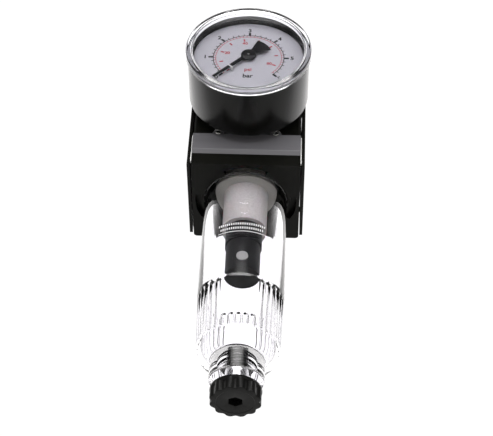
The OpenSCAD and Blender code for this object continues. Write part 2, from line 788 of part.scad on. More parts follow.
module port_plug() {
    color([0.2, 0.2, 0.2]) from_base() translate([0, body_d / 2, gauge_z]) rotate([-90, 0, 0]) difference() {
        union() {
            translate([0, 0, -8]) cylinder(r = gauge_port_r - fit / 2, h = 9);
            translate([0, 0, 1]) cylinder(r = 7, h = 2.2);
        }
        translate([0, 0, -1]) cylinder(r = 2.9, h = 6, $fn = 6);
    }
}

module plug_seal() {
    color([0.1, 0.1, 0.1]) from_base() translate([0, body_d / 2, gauge_z]) rotate([-90, 0, 0])
        ring(gauge_port_r, 6.6, 0, 1);
}

housing();
left_plate();
right_plate();
plate_screws();
label_bar();
label_screws();
bonnet();
bonnet_screws();
diaphragm();
diaphragm_plate();
relief_seat();
main_spring();
spring_seat();
adjusting_screw();
thrust_washer();
adjusting_knob();
knob_cap();
valve_seat();
valve_poppet();
poppet_seal();
valve_spring();
valve_guide();
deflector();
filter_element();
baffle_cup();
cup_plug();
bowl();
bowl_oring();
drain_stem();
drain_oring();
drain_knob();
gauge_case();
gauge_lens();
gauge_dial();
pointer_stop();
pointer();
pointer_arbor();
sector_gear();
tube_link();
movement_frame();
bourdon_tube();
gauge_stem();
gauge_seal();
port_plug();
plug_seal();
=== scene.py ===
# %% [markdown]
# # An air pressure regulator with a clear filter bowl
# A black block carries a dial gauge on its front, a sprung bonnet with a setting knob on top
# and a clear plastic bowl with a drain knob below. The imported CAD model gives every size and
# joint. This script gives the object its surfaces, its light and its small details.

# %% Load the frame
import math

import bmesh
import bpy
from mathutils import Matrix, Vector


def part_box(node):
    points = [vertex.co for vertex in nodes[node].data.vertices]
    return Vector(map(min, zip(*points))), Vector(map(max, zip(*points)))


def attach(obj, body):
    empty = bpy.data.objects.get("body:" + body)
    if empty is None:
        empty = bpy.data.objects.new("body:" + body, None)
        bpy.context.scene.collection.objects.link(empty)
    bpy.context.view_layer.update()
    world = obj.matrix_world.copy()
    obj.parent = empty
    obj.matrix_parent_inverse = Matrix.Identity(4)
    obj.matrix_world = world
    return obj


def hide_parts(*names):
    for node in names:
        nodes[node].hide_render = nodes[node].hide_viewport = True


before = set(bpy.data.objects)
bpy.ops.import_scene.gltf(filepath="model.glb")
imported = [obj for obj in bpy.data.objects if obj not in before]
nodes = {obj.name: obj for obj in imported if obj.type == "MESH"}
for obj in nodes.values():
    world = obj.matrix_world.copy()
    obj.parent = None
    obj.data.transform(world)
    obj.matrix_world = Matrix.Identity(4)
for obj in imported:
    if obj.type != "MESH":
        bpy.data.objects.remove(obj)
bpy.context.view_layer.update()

MM = 0.001

# %% [markdown]
# ## Places taken from the frame
# Every new piece is drawn in millimetres around the axis of its CAD node. A few places are
# enough: the block's underside and front, and the gauge's back, its depth and the height of its
# axis.

# %% Places
block_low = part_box("left_plate")[0] / MM
case_low, case_high = [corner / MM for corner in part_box("gauge_case")]
lens_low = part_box("gauge_lens")[0] / MM
BASE = block_low.z
GAUGE_Z = (case_low.z + case_high.z) / 2
GAUGE_BACK = case_high.y
GAUGE_DEPTH = case_high.y - lens_low.y
FROM_BASE = Matrix.Translation((0, 0, BASE * MM))
AT_GAUGE = (Matrix.Translation((0, GAUGE_BACK * MM, GAUGE_Z * MM))
            @ Matrix.Rotation(math.radians(90), 4, "X"))
print("block's underside", round(BASE, 2), "gauge axis", round(GAUGE_Z, 2), "depth", round(GAUGE_DEPTH, 2))

# %% [markdown]
# ## The camera
# A product picture is taken with a long lens, so that upright edges stay nearly parallel. Here
# the camera stands below and in front of the part and looks up at it. A camera looks along its
# own -Z, so its matrix is built from three directions: right, up and back.

# %% Camera
AZIMUTH, ELEVATION, ROLL = math.radians(2.21), math.radians(-42.21), math.radians(2.94)
CAMERA_AT, LENS = (16.80, -418.29, -446.96), 98.14
look = Vector((-math.sin(AZIMUTH) * math.cos(ELEVATION),
               math.cos(AZIMUTH) * math.cos(ELEVATION), -math.sin(ELEVATION)))
level = Vector((math.cos(AZIMUTH), math.sin(AZIMUTH), 0))
above = level.cross(look)
right = level * math.cos(ROLL) + above * math.sin(ROLL)
up = above * math.cos(ROLL) - level * math.sin(ROLL)
camera = bpy.data.objects.new("camera", bpy.data.cameras.new("camera"))
camera.matrix_world = Matrix((right, up, -look)).transposed().to_4x4()
camera.location = Vector(CAMERA_AT) * MM
camera.data.sensor_width = 36
camera.data.lens = LENS
camera.data.clip_start = 0.01
bpy.context.scene.collection.objects.link(camera)
bpy.context.scene.camera = camera
print("camera looks along", [round(v, 3) for v in look], "with a", camera.data.lens, "mm lens")

# %% [markdown]
# ## The studio
# Clear plastic only shows where it bends light from something dark. So the light comes from a
# white sky behind the part, and the side of the sky behind the camera is dim. A soft patch in
# front of the part, a little below its level, lights the dial. Lamps could do this too, but then
# each would show as a hard shape in the clear bowl. One node tree on the ray's direction has no
# such shapes. Two helpers build it: one for sums and products, one for a soft patch of light.

# %% Sky helpers
BACK_LIGHT = 1.6
BACK_EDGE, BACK_FULL = 0.26, 0.70
FRONT_LIGHT = 6.8
PATCH_TOWARDS, PATCH_EDGE, PATCH_FULL = (0, -1, -0.12), 0.74, 0.92
DIM = 0.05
SEEN_WHITE = 1.05


def link_math(tree, operation, *values):
    """A Math node with its inputs linked or set, and its result."""
    node = tree.nodes.new("ShaderNodeMath")
    node.operation = operation
    for socket, value in zip(node.inputs, values):
        if isinstance(value, (int, float)):
            socket.default_value = value
        else:
            tree.links.new(value, socket)
    return node.outputs[0]


def lobe(tree, direction, towards, edge, full):
    """0 to 1 as the ray turns towards a direction: 0 at the cosine edge, 1 at the cosine full."""
    dot = tree.nodes.new("ShaderNodeVectorMath")
    dot.operation = "DOT_PRODUCT"
    tree.links.new(direction, dot.inputs[0])
    dot.inputs[1].default_value = Vector(towards).normalized()
    ramp = tree.nodes.new("ShaderNodeMapRange")
    ramp.interpolation_type = "SMOOTHSTEP"
    tree.links.new(dot.outputs["Value"], ramp.inputs["Value"])
    ramp.inputs["From Min"].default_value = edge
    ramp.inputs["From Max"].default_value = full
    return ramp.outputs["Result"]


# %% [markdown]
# ## The sky
# A ray that meets no piece asks the sky for light by its direction alone. Two patches are added:
# a wide one behind the part and a smaller one in front. The camera's own rays get plain white
# instead, so the backdrop stays even although the light is not.

# %% Sky
world = bpy.data.worlds.new("studio")
bpy.context.scene.world = world
world.use_nodes = True
sky = world.node_tree
sky.nodes.clear()
ray = sky.nodes.new("ShaderNodeTexCoord").outputs["Generated"]
backdrop = lobe(sky, ray, look, BACK_EDGE, BACK_FULL)
front_patch = lobe(sky, ray, PATCH_TOWARDS, PATCH_EDGE, PATCH_FULL)
light = link_math(sky, "ADD", link_math(sky, "MULTIPLY", backdrop, BACK_LIGHT - DIM), DIM)
light = link_math(sky, "ADD", light, link_math(sky, "MULTIPLY", front_patch, FRONT_LIGHT))
studio_light = sky.nodes.new("ShaderNodeBackground")
studio_light.inputs["Color"].default_value = (1.0, 0.99, 0.985, 1)
sky.links.new(light, studio_light.inputs["Strength"])
plain_white = sky.nodes.new("ShaderNodeBackground")
plain_white.inputs["Color"].default_value = (1, 1, 1, 1)
plain_white.inputs["Strength"].default_value = SEEN_WHITE
seen = sky.nodes.new("ShaderNodeLightPath")
sky_mix = sky.nodes.new("ShaderNodeMixShader")
sky.links.new(seen.outputs["Is Camera Ray"], sky_mix.inputs["Fac"])
sky.links.new(studio_light.outputs[0], sky_mix.inputs[1])
sky.links.new(plain_white.outputs[0], sky_mix.inputs[2])
sky_out = sky.nodes.new("ShaderNodeOutputWorld")
sky.links.new(sky_mix.outputs[0], sky_out.inputs["Surface"])
bpy.context.scene.view_settings.view_transform = "Standard"
print("sky with", len(sky.nodes), "nodes")

# %% [markdown]
# ## Finishes
# Moulded plastic, paint and metal differ in the same few ways: how dark they are, how rough,
# how fine the grain of the surface is, and how uneven it all looks from close by. One function
# builds that from noise in the piece's own coordinates. Each finish then only names its numbers.

# %% The common finish
FINISHES = {}


def noise(tree, scale, stretch=(1, 1, 1), detail=3.0):
    """Noise on the piece's own coordinates, with features of about 1 / scale metres."""
    coordinates = tree.nodes.new("ShaderNodeTexCoord")
    mapping = tree.nodes.new("ShaderNodeMapping")
    mapping.inputs["Scale"].default_value = stretch
    tree.links.new(coordinates.outputs["Object"], mapping.inputs["Vector"])
    texture = tree.nodes.new("ShaderNodeTexNoise")
    texture.inputs["Scale"].default_value = scale
    texture.inputs["Detail"].default_value = detail
    tree.links.new(mapping.outputs["Vector"], texture.inputs["Vector"])
    return texture.outputs["Fac"]


def spread(tree, value, low, high):
    """Maps noise, which mostly lies between 0.3 and 0.7, onto low to high."""
    ramp = tree.nodes.new("ShaderNodeMapRange")
    ramp.inputs["From Min"].default_value = 0.3
    ramp.inputs["From Max"].default_value = 0.7
    ramp.inputs["To Min"].default_value = low
    ramp.inputs["To Max"].default_value = high
    tree.links.new(value, ramp.inputs["Value"])
    return ramp.outputs["Result"]


def blend_colours(tree, factor, first, second):
    """A colour between two, by a factor."""
    mix = tree.nodes.new("ShaderNodeMix")
    mix.data_type = "RGBA"
    tree.links.new(factor, mix.inputs["Factor"])
    mix.inputs["A"].default_value = (*first, 1)
    mix.inputs["B"].default_value = (*second, 1)
    return mix.outputs["Result"]


def finish(name, colour, rough, grain=3500, relief=0.02, uneven=0.18, metal=0.0,
           stretch=(1, 1, 1), **extra):
    """A solid surface. Grain is how fine its relief is, and relief how deep, in millimetres."""
    material = bpy.data.materials.new(name)
    material.use_nodes = True
    tree = material.node_tree
    shader = tree.nodes["Principled BSDF"]
    cloud = spread(tree, noise(tree, grain / 30, stretch, 4.0), 0, 1)
    dark = [c * (1 - uneven) for c in colour]
    pale = [min(1, c * (1 + uneven)) for c in colour]
    tree.links.new(blend_colours(tree, cloud, dark, pale), shader.inputs["Base Color"])
    fine = noise(tree, grain, stretch)
    tree.links.new(spread(tree, fine, rough * 0.85, rough * 1.15), shader.inputs["Roughness"])
    bump = tree.nodes.new("ShaderNodeBump")
    bump.inputs["Strength"].default_value = 0.6
    bump.inputs["Distance"].default_value = relief * MM
    tree.links.new(fine, bump.inputs["Height"])
    tree.links.new(bump.outputs["Normal"], shader.inputs["Normal"])
    shader.inputs["Metallic"].default_value = metal
    for socket, value in extra.items():
        shader.inputs[socket.replace("_", " ")].default_value = value
    FINISHES[name] = material
    return material


# %% [markdown]
# ## The solid finishes
# The cast block is painted satin black. The gauge case, bonnet and knobs are black moulded
# plastic from polished or spark-worn tools. Inside are turned brass, zinc-plated steel, rubber,
# and white or grey plastics.

# %% Solid finishes
finish("block_paint", (0.0038, 0.0039, 0.0030), 0.32, grain=5200, relief=0.012, Specular_IOR_Level=0.1)
finish("plate_paint", (0.0038, 0.0038, 0.0030), 0.32, grain=5200, relief=0.012, Specular_IOR_Level=0.12)
finish("case_plastic", (0.0036, 0.0036, 0.0034), 0.22, grain=2500, relief=0.001, uneven=0.06,
       Specular_IOR_Level=0.2)
finish("bonnet_plastic", (0.010, 0.010, 0.010), 0.38, grain=4200, relief=0.03, Specular_IOR_Level=0.35)
finish("knob_plastic", (0.011, 0.011, 0.011), 0.42, grain=4800, relief=0.03, Specular_IOR_Level=0.35)
finish("cap_plastic", (0.10, 0.105, 0.115), 0.40, grain=4800, relief=0.02)
finish("drain_plastic", (0.0042, 0.0042, 0.0040), 0.36, grain=4600, relief=0.012, Specular_IOR_Level=0.15)
finish("label_film", (0.115, 0.113, 0.122), 0.34, grain=9000, relief=0.004, uneven=0.10, stretch=(0.06, 1, 1))
finish("zinc_steel", (0.62, 0.62, 0.60), 0.26, grain=2600, relief=0.006, metal=1.0, uneven=0.08)
finish("spring_steel", (0.50, 0.50, 0.50), 0.24, grain=3600, relief=0.004, metal=1.0, uneven=0.1)
finish("black_steel", (0.10, 0.10, 0.105), 0.36, grain=3000, relief=0.01, metal=0.8)
finish("turned_brass", (0.70, 0.50, 0.20), 0.26, grain=5000, relief=0.004, metal=1.0, uneven=0.1,
       stretch=(1, 1, 6))
finish("turned_alloy", (0.70, 0.71, 0.73), 0.28, grain=5000, relief=0.004, metal=1.0, uneven=0.06,
       stretch=(1, 1, 6))
finish("black_rubber", (0.014, 0.014, 0.014), 0.62, grain=2400, relief=0.02)
finish("white_nylon", (0.66, 0.65, 0.61), 0.42, grain=2200, relief=0.01, uneven=0.06)
finish("vane_plastic", (0.52, 0.51, 0.47), 0.40, grain=2200, relief=0.01, uneven=0.05)
finish("cup_plastic", (0.026, 0.026, 0.027), 0.5, grain=4200, relief=0.02, Specular_IOR_Level=0.15)
finish("plug_plastic", (0.52, 0.52, 0.51), 0.38, grain=3000, relief=0.015, uneven=0.1)
finish("white_ptfe", (0.80, 0.80, 0.79), 0.5, grain=1800, relief=0.02, uneven=0.05)
finish("pointer_paint", (0.008, 0.008, 0.010), 0.34, grain=5000, relief=0.005)
finish("dial_paint", (0.74, 0.73, 0.78), 0.42, grain=6000, relief=0.003, uneven=0.025)
finish("black_ink", (0.012, 0.012, 0.014), 0.5, grain=9000, relief=0.002)
finish("red_ink", (0.60, 0.05, 0.075), 0.5, grain=9000, relief=0.002)
finish("ring_silver", (0.50, 0.50, 0.53), 0.38, grain=5000, relief=0.002, metal=0.3, uneven=0.04)
finish("white_ink", (0.86, 0.86, 0.88), 0.5, grain=9000, relief=0.002, uneven=0.04)
print(len(FINISHES), "solid finishes")

# %% [markdown]
# ## The porous filter
# The filter element is made of plastic beads that are melted together where they touch. Cells
# of a Voronoi texture look like those beads. Their distance drives the bump between them, and
# a painted shade that darkens the colour in the pores between the beads.

# %% Filter finish
def bead_finish(name, colour, pore_shade_colour, beads):
    """Round beads melted together, with painted shade between them: the cells of a texture, beads of them to
    a metre.
    """
    material = finish(name, colour, 0.6, grain=2600, relief=0.03, uneven=0.05)
    tree = material.node_tree
    shader = tree.nodes["Principled BSDF"]
    coordinates = tree.nodes.new("ShaderNodeTexCoord")
    cells = tree.nodes.new("ShaderNodeTexVoronoi")
    cells.inputs["Scale"].default_value = beads
    tree.links.new(coordinates.outputs["Object"], cells.inputs["Vector"])
    bump = tree.nodes.new("ShaderNodeBump")
    bump.invert = True
    bump.inputs["Strength"].default_value = 0.5
    bump.inputs["Distance"].default_value = 0.12 * MM
    tree.links.new(cells.outputs["Distance"], bump.inputs["Height"])
    tree.links.new(bump.outputs["Normal"], shader.inputs["Normal"])
    # Painted shade: the colour turns darker towards the cell edges, in the pores between the beads.
    pore_shade = spread(tree, cells.outputs["Distance"], 0.0, 1.0)
    tree.links.new(blend_colours(tree, pore_shade, colour, pore_shade_colour), shader.inputs["Base Color"])
    shader.inputs["Subsurface Weight"].default_value = 0.15
    shader.inputs["Subsurface Scale"].default_value = 1.0 * MM
    return material


bead_finish("sintered_beads", (0.80, 0.765, 0.755), (0.66, 0.63, 0.62), beads=1800)

# %% [markdown]
# ## Clear plastic
# Polycarbonate bends light strongly. It is never perfectly even: the moulding leaves faint
# streaks along the flow. Noise puts them into its roughness and its surface, and on the bowl the
# noise is stretched along the axis.

# %% Clear finishes
def clear_finish(name, colour, rough, ripple, stretch):
    """A clear surface with faint streaks. Ripple is how deep they are, in millimetres."""
    material = bpy.data.materials.new(name)
    material.use_nodes = True
    tree = material.node_tree
    shader = tree.nodes["Principled BSDF"]
    shader.inputs["Transmission Weight"].default_value = 1.0
    shader.inputs["IOR"].default_value = 1.56
    streak = noise(tree, 420, stretch, 2.0)
    tint = [c * 0.985 for c in colour]
    tree.links.new(blend_colours(tree, spread(tree, streak, 0, 1), tint, colour), shader.inputs["Base Color"])
    tree.links.new(spread(tree, streak, rough * 0.5, rough * 1.5), shader.inputs["Roughness"])
    bump = tree.nodes.new("ShaderNodeBump")
    bump.inputs["Strength"].default_value = 0.5
    bump.inputs["Distance"].default_value = ripple * MM
    tree.links.new(streak, bump.inputs["Height"])
    tree.links.new(bump.outputs["Normal"], shader.inputs["Normal"])
    FINISHES[name] = material
    return material


clear_finish("clear_bowl", (0.965, 0.96, 0.985), 0.012, 0.012, (1, 1, 0.12))
clear_finish("clear_lens", (0.93, 0.93, 0.955), 0.008, 0.004, (1, 1, 1))
print("clear finishes", [name for name in FINISHES if name.startswith("clear")])

# %% [markdown]
# ## Drawing tools
# Most pieces here are turned or moulded around an axis. So the main tool spins an outline of
# (radius, height) points, and may change the radius with the angle for ribs, flutes and
# threads. Three smaller tools finish a mesh: one puts it in the scene, one smooths it and sets
# its place, and one says which body it rides on and which CAD node it stands for.

# %% Make a piece of a mesh
def show(name, data):
    """A new object in the scene, at the origin."""
    piece = bpy.data.objects.new(name, data)
    bpy.context.scene.collection.objects.link(piece)
    return piece


def settle(name, mesh, material, place=FROM_BASE, sharp=32):
    """Puts a mesh drawn in millimetres at its place, turned outwards and smooth between its edges."""
    mesh.transform(Matrix.Scale(MM, 4))
    mesh.transform(place)
    work = bmesh.new()
    work.from_mesh(mesh)
    bmesh.ops.remove_doubles(work, verts=work.verts, dist=1e-7)
    bmesh.ops.recalc_face_normals(work, faces=work.faces)
    work.to_mesh(mesh)
    work.free()
    mesh.shade_smooth()
    mesh.set_sharp_from_angle(angle=math.radians(sharp))
    mesh.materials.clear()
    mesh.materials.append(FINISHES[material])
    return show(name, mesh)


def belongs(piece, body, slot, *stands_for):
    """Says what a finished piece rides on and the CAD nodes that it replaces. Its slot is not used."""
    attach(piece, body)
    if stands_for:
        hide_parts(*stands_for)
    print(f"{piece.name}: {len(piece.data.polygons)} faces on {body}")
    return piece


# %% [markdown]
# ## Spinning an outline
# A Screw modifier turns an outline too, but it can't change the radius with the angle. So the
# rows are made here: a copy of the outline at each step, joined to the next one by faces, with
# one shared point wherever the outline meets the axis.

# %% Spin an outline
def spin(name, outline, material, steps=96, shape=None, place=FROM_BASE, sharp=32, closed=True):
    """Turns an outline around Z. shape(angle, radius, height) may return another radius."""
    points, rows = [], []
    for k in range(steps):
        angle = 2 * math.pi * k / steps
        row = []
        for r, z in outline:
            if r == 0:
                row.append(None)
                continue
            out = shape(angle, r, z) if shape else r
            row.append(len(points))
            points.append((out * math.cos(angle), out * math.sin(angle), z))
        rows.append(row)
    poles = {}
    for i, (r, z) in enumerate(outline):
        if r == 0:
            poles[i] = len(points)
            points.append((0, 0, z))
    faces = []
    pairs = len(outline) if closed else len(outline) - 1
    for k in range(steps):
        here, there = rows[k], rows[(k + 1) % steps]
        for i in range(pairs):
            j = (i + 1) % len(outline)
            corners = [here[i], there[i], there[j], here[j]]
            if i in poles and j in poles:
                continue
            if i in poles:
                corners = [poles[i], there[j], here[j]]
            elif j in poles:
                corners = [here[i], there[i], poles[j]]
            faces.append(corners)
    mesh = bpy.data.meshes.new(name)
    mesh.from_pydata(points, [], faces)
    return settle(name, mesh, material, place, sharp)


def arc(r, z, radius, start, end, count=6):
    """Points of a rounded corner with its centre at (r, z), angles in degrees."""
    turn = [math.radians(start + (end - start) * i / count) for i in range(count + 1)]
    return [(r + radius * math.cos(a), z + radius * math.sin(a)) for a in turn]


# %% [markdown]
# ## A rounder copy of a CAD piece
# CAD corners are perfectly sharp, and a sharp corner catches no light. The block, its plates
# and its cover have the right shape already, so each is copied, its triangles are joined back
# into flat faces, and a narrow Bevel rounds its edges, as casting and moulding do. Weighted
# normals then keep its large flat faces evenly shaded.

# %% Copy with softened edges
def soften(name, node, material, width, segments=2, angle=40):
    """A copy of a CAD node with small rounded edges, width in millimetres."""
    mesh = nodes[node].data.copy()
    mesh.name = name
    work = bmesh.new()
    work.from_mesh(mesh)
    bmesh.ops.remove_doubles(work, verts=work.verts, dist=1e-6)
    bmesh.ops.dissolve_limit(work, angle_limit=math.radians(1), verts=work.verts, edges=work.edges)
    work.to_mesh(mesh)
    work.free()
    mesh.shade_smooth()
    mesh.materials.clear()
    mesh.materials.append(FINISHES[material])
    piece = show(name, mesh)
    edge = piece.modifiers.new("softened edges", "BEVEL")
    edge.width = width * MM
    edge.segments = segments
    edge.limit_method = "ANGLE"
    edge.angle_limit = math.radians(angle)
    even = piece.modifiers.new("even shading", "WEIGHTED_NORMAL")
    even.weight = 100
    return piece


# %% [markdown]
# ## Copies in a ring
# Screws, vanes, ribs and the marks of a scale repeat around an axis. A Geometry Nodes tree
# turns one piece about Z as many times as asked. Its inputs have names, and they are set by
# their identifiers before the result is read, made real and turned into a plain mesh.

# %% The ring tree
def ring_tree():
    """Count copies of a piece about Z, the first at Start and each a Step further."""
    tree = bpy.data.node_groups.new("copies in a ring", "GeometryNodeTree")
    tree.interface.new_socket("Geometry", in_out="OUTPUT", socket_type="NodeSocketGeometry")
    wanted = (("Geometry", "Geometry"), ("Count", "Int"), ("Start", "Float"),
              ("Step", "Float"), ("Finish", "Material"))
    for label, kind in wanted:
        tree.interface.new_socket(label, in_out="INPUT", socket_type="NodeSocket" + kind)
    given = tree.nodes.new("NodeGroupInput").outputs
    spots = tree.nodes.new("GeometryNodePoints")
    index = tree.nodes.new("GeometryNodeInputIndex")
    turn = tree.nodes.new("ShaderNodeMath")
    turn.operation = "MULTIPLY_ADD"
    axis = tree.nodes.new("ShaderNodeCombineXYZ")
    copies = tree.nodes.new("GeometryNodeInstanceOnPoints")
    real = tree.nodes.new("GeometryNodeRealizeInstances")
    paint = tree.nodes.new("GeometryNodeSetMaterial")
    out = tree.nodes.new("NodeGroupOutput")
    link = tree.links.new
    link(given["Count"], spots.inputs["Count"])
    link(index.outputs["Index"], turn.inputs[0])
    link(given["Step"], turn.inputs[1])
    link(given["Start"], turn.inputs[2])
    link(turn.outputs[0], axis.inputs["Z"])
    link(spots.outputs[0], copies.inputs["Points"])
    link(given["Geometry"], copies.inputs["Instance"])
    link(axis.outputs[0], copies.inputs["Rotation"])
    link(copies.outputs[0], real.inputs[0])
    link(real.outputs[0], paint.inputs["Geometry"])
    link(given["Finish"], paint.inputs["Material"])
    link(paint.outputs[0], out.inputs[0])
    return tree


RING = ring_tree()


def run_tree(piece, tree, **inputs):
    """Runs a node tree on a piece with its named inputs, and keeps the result as a plain mesh."""
    modifier = piece.modifiers.new("tree", "NODES")
    modifier.node_group = tree
    for socket in tree.interface.items_tree:
        if socket.in_out == "INPUT" and socket.name in inputs:
            modifier[socket.identifier] = inputs[socket.name]
    bpy.context.view_layer.update()
    graph = bpy.context.evaluated_depsgraph_get()
    mesh = bpy.data.meshes.new_from_object(piece.evaluated_get(graph))
    piece.modifiers.remove(modifier)
    piece.data = mesh
    return piece


def ring_of(name, points, faces, material, count, start, step, place, sharp=32):
    """One small mesh, in millimetres, repeated around the Z axis of its place."""
    mesh = bpy.data.meshes.new(name)
    mesh.from_pydata(points, [], faces)
    piece = show(name, mesh)
    run_tree(piece, RING, Count=count, Start=math.radians(start), Step=math.radians(step),
             Finish=FINISHES[material])
    mesh = piece.data
    bpy.data.objects.remove(piece)
    return settle(name, mesh, material, place, sharp)


def box_mesh(x, y, z):
    """Corners and faces of a box between pairs of coordinates."""
    points = [(a, b, c) for a in x for b in y for c in z]
    faces = [(0, 1, 3, 2), (4, 6, 7, 5), (0, 4, 5, 1), (2, 3, 7, 6), (0, 2, 6, 4), (1, 5, 7, 3)]
    return points, faces


print("ring tree with", len(RING.nodes), "nodes")

# %% [markdown]
# ## The block, its side plates and the cover
# The block is a zinc casting. Two thin plates close its sides, and slits are left between
# them, through which the light shows. The bonnet's foot sits on top with the same outline.

# %% Block
belongs(soften("cast_block", "housing", "block_paint", 0.3), "block", "block", "housing")
belongs(soften("side_plate_left", "left_plate", "plate_paint", 0.2), "block", "plate", "left_plate")
belongs(soften("side_plate_right", "right_plate", "plate_paint", 0.2), "block", "plate", "right_plate")
belongs(soften("label_strip", "label_bar", "label_film", 0.18), "block", "label", "label_bar")

# %% [markdown]
# ## Strips and screws of the label
# A pale strip at each end of the label is painted light: it fills the slit there and stands in
# for the light that shows through it. Two small screws hold the label. A turned head with a
# rounded rim around a shallow recess shows as a bright ring.

# %% Label details
BLOCK_FRONT, LABEL_FRONT = block_low.y - 0.7, block_low.y - 2.2
STRIP_IN, STRIP_OUT, STRIP_LOW, STRIP_HIGH = 22.72, 23.05, 1.5, 16.6
SCREW_X, SCREW_Z = 12.1, 17.4
# Each pale strip is a painted highlight in the slit beside the label.
light_strips = bpy.data.meshes.new("painted_light_strips")
points, faces = [], []
for side in (-1, 1):
    box_points, box_faces = box_mesh((side * STRIP_IN, side * STRIP_OUT),
                                     (BLOCK_FRONT + 0.05, BLOCK_FRONT + 1.2),
                                     (STRIP_LOW, STRIP_HIGH))
    faces += [tuple(i + len(points) for i in face) for face in box_faces]
    points += box_points
light_strips.from_pydata(points, [], faces)
belongs(settle("painted_light_strips", light_strips, "white_ptfe"), "block", "ptfe")
head = [(0, 0)] + [(1.5, 0)] + arc(1.3, 0.9, 0.25, -30, 90, 4) + [(0.95, 1.05), (0.85, 0.8), (0, 0.8)]
for side, word in ((-1, "left"), (1, "right")):
    at_screw = (Matrix.Translation((side * SCREW_X * MM, (LABEL_FRONT + 0.6) * MM,
                                    (BASE + SCREW_Z) * MM))
                @ Matrix.Rotation(math.radians(90), 4, "X"))
    screw = spin(f"label_screw_head_{word}", head, "zinc_steel", 40, place=at_screw, closed=False)
    belongs(screw, "block", "steel", "label_screws")

# %% [markdown]
# ## The clear bowl
# The bowl is one thick moulding: a collar in the block, a smooth wall, then flutes to grip, a
# rounded bottom and a short neck. It is a closed solid with an outer and an inner wall, for
# light only bends rightly where it enters and leaves a real thickness. Each flute is half round
# and ends in a round tip, so the outer wall is a fine grid whose radius follows a rule.

# %% Bowl sizes
BOWL_R, BOWL_IN, COLLAR_R = 17.4, 14.0, 17.92
COLLAR_TOP, SMOOTH_END, BOWL_END = 11.2, -53.5, -84.0
FLUTES, FLUTE_DEPTH, FLUTE_HALF = 36, 0.7, 1.2
FLUTE_TOP, FLUTE_LOW, GRIP_HIGH_R, GRIP_LOW_R = -55.0, -78.2, 17.1, 16.3
SHORT_TOP, PLAIN_HALF = -72.5, math.sin(math.radians(24))
CORNER, FLOOR, NECK_R, NECK_END = 5.0, -81.8, 10.7, -93.6
BORE_R = 4.45


def flute_shape(angle, r, z):
    """Sinks half-round flutes with round tips into the outer wall, short ones at front and back."""
    top = SHORT_TOP if abs(math.cos(angle)) < PLAIN_HALF else FLUTE_TOP
    if r < GRIP_LOW_R - 0.6 or z > top or z < FLUTE_LOW:
        return r
    pitch = 2 * math.pi / FLUTES
    across = abs((angle + pitch / 2) % pitch - pitch / 2) * r
    along = max(0.0, z - (top - FLUTE_HALF), FLUTE_LOW + FLUTE_HALF - z)
    away = math.hypot(across, along) / FLUTE_HALF
    return r - FLUTE_DEPTH * math.sqrt(1 - away * away) if away < 1 else r


# %% [markdown]
# ## The bowl's outline
# The outline runs down the outer wall and back up the inner one, so the spun mesh closes on
# itself. The grip tapers, and gets many rows because the flutes' round tips need them.

# %% Bowl
def bowl_outline():
    """(radius, height) points of the bowl's two walls."""
    steps = 64
    high, low = SMOOTH_END - 1.2, BOWL_END + CORNER
    taper = GRIP_LOW_R - GRIP_HIGH_R
    grip = [(GRIP_HIGH_R + taper * i / steps, high + (low - high) * i / steps)
            for i in range(steps + 1)]
    outer = ([(COLLAR_R - 0.4, COLLAR_TOP), (COLLAR_R, COLLAR_TOP - 0.4), (COLLAR_R, 0.3),
              (BOWL_R, -0.3), (BOWL_R, SMOOTH_END), (BOWL_R - 0.1, SMOOTH_END - 0.6)]
             + grip
             + arc(GRIP_LOW_R - CORNER, low, CORNER, -7, -83, 10)
             + [(NECK_R + 0.5, BOWL_END)] + arc(NECK_R + 0.5, BOWL_END - 0.5, 0.5, 90, 180, 3)
             + arc(NECK_R - 0.6, NECK_END + 0.6, 0.6, 0, -90, 4))
    inner = ([(BORE_R, NECK_END), (BORE_R, FLOOR)]
             + arc(BOWL_IN - 4, FLOOR + 4, 4, -90, 0, 8) + [(BOWL_IN, COLLAR_TOP)])
    return outer + inner


bowl = spin("clear_bowl", bowl_outline(), "clear_bowl", steps=FLUTES * 14, shape=flute_shape, sharp=40)
belongs(bowl, "bowl", "clear_bowl", "bowl")

# %% [markdown]
# ## Print on the bowl
# A thin white line with two rows of short dashes above it marks the greatest filling. The marks
# are small plates just proud of the wall, repeated around it by the ring tree.

# %% Bowl print
for name, z_low, z_high, width, count, start, step in (
        ("print_line", -32.2, -31.95, 0.5, 44, -123, 1.5),
        ("print_dashes_upper", -28.6, -27.5, 0.42, 22, -123, 3.0),
        ("print_dashes_lower", -30.8, -29.7, 0.42, 20, -120, 3.0)):
    points, faces = box_mesh((BOWL_R + 0.01, BOWL_R + 0.04), (-width / 2, width / 2), (z_low, z_high))
    belongs(ring_of(name, points, faces, "white_ink", count, start, step, FROM_BASE), "bowl", "ptfe")

# %% [markdown]
# ## The gauge
# The case is a black cup with a soft edge at its back. A clear cap with a raised rim and a flat
# window closes its front. The rim's thick edge bends light from all around, and two thin silvery
# rings behind it and a pale one around the dial keep it bright where the sky is dim.

# %% Gauge case and clear cap
CASE_R, LENS_R, WINDOW_R, WINDOW_T = 25.3, 26.1, 23.9, 1.4
CASE_T, DIAL_Z, DIAL_R, FRONT_Z = 23.5, 20.3, 23.2, GAUGE_DEPTH + 1.2
CASE_HOLE_R, CASE_EDGE, CASE_BACK, CASE_IN = 5.05, 1.6, 1.8, DIAL_R - 1
case_outline = ([(CASE_HOLE_R, 0)] + arc(CASE_R - CASE_EDGE, CASE_EDGE, CASE_EDGE, -90, 0, 6)
                + [(CASE_R, CASE_T), (WINDOW_R, CASE_T), (WINDOW_R, DIAL_Z), (CASE_IN, DIAL_Z),
                   (CASE_IN, CASE_BACK), (CASE_HOLE_R, CASE_BACK)])
belongs(spin("gauge_cup", case_outline, "case_plastic", 160, place=AT_GAUGE),
        "block", "gauge_case", "gauge_case")

